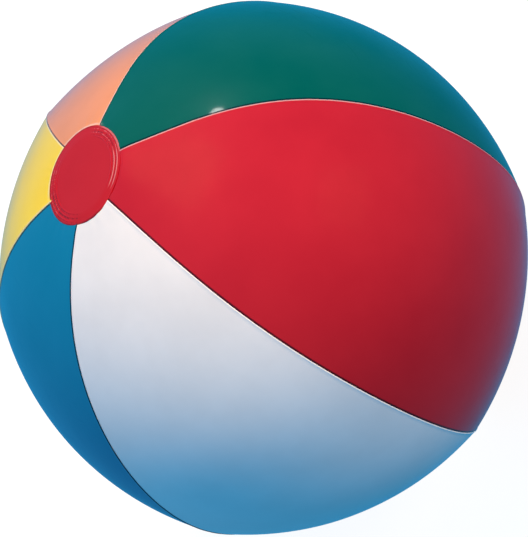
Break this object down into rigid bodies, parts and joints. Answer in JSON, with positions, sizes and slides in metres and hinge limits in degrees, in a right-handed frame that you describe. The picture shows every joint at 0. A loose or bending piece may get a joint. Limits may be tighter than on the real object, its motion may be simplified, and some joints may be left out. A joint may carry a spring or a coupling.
{
  "type": "inflatable beach ball",
  "caption": "Inflated vinyl beach ball with coloured pole-to-pole panels, a round disc at each pole and a push-in air valve with a tethered plug.",
  "frame": {"origin": "centre of the blown-up ball", "axes": "+Z along the polar axis through both end discs, the red panel's middle faces -Y, and the valve is in the yellow panel that faces +Y"},
  "size_m": [0.3712, 0.3599, 0.3614],
  "materials": {
    "green_vinyl": "gloss",
    "red_vinyl": "gloss",
    "white_vinyl": "gloss",
    "blue_vinyl": "gloss",
    "yellow_vinyl": "gloss",
    "orange_vinyl": "gloss",
    "disc_vinyl": "gloss",
    "valve_vinyl": "satin"
  },
  "bodies": {
    "ball": {"green_panel": "green_vinyl", "red_panel": "red_vinyl", "white_panel": "white_vinyl", "blue_panel": "blue_vinyl", "yellow_panel": "yellow_vinyl", "orange_panel": "orange_vinyl", "top_end_disc": "disc_vinyl", "bottom_end_disc": "disc_vinyl", "valve_flange": "valve_vinyl", "valve_skirt": "valve_vinyl"},
    "stem": {"valve_stem": "valve_vinyl", "plug_strap": "valve_vinyl"},
    "plug": {"valve_plug": "valve_vinyl"},
    "flap": {"check_flap": "valve_vinyl"}
  },
  "joints": [
    {"name": "stem_slide", "type": "slide", "parent": "ball", "child": "stem", "axis": [0, 0.866, 0.5], "range_m": [0, 0.014], "deforming": ["valve_skirt"]},
    {"name": "plug_swing", "type": "hinge", "parent": "stem", "child": "plug", "pos_m": [0, 0.15128, 0.09658], "axis": [1, 0, 0], "range_deg": [0, 140], "deforming": ["plug_strap"]},
    {"name": "flap_hinge", "type": "hinge", "parent": "stem", "child": "flap", "pos_m": [0, 0.14097, 0.08693], "axis": [-1, 0, 0], "range_deg": [0, 60], "stiffness_Nm_per_rad": 0.0002, "springref_deg": -11.46}
  ]
}
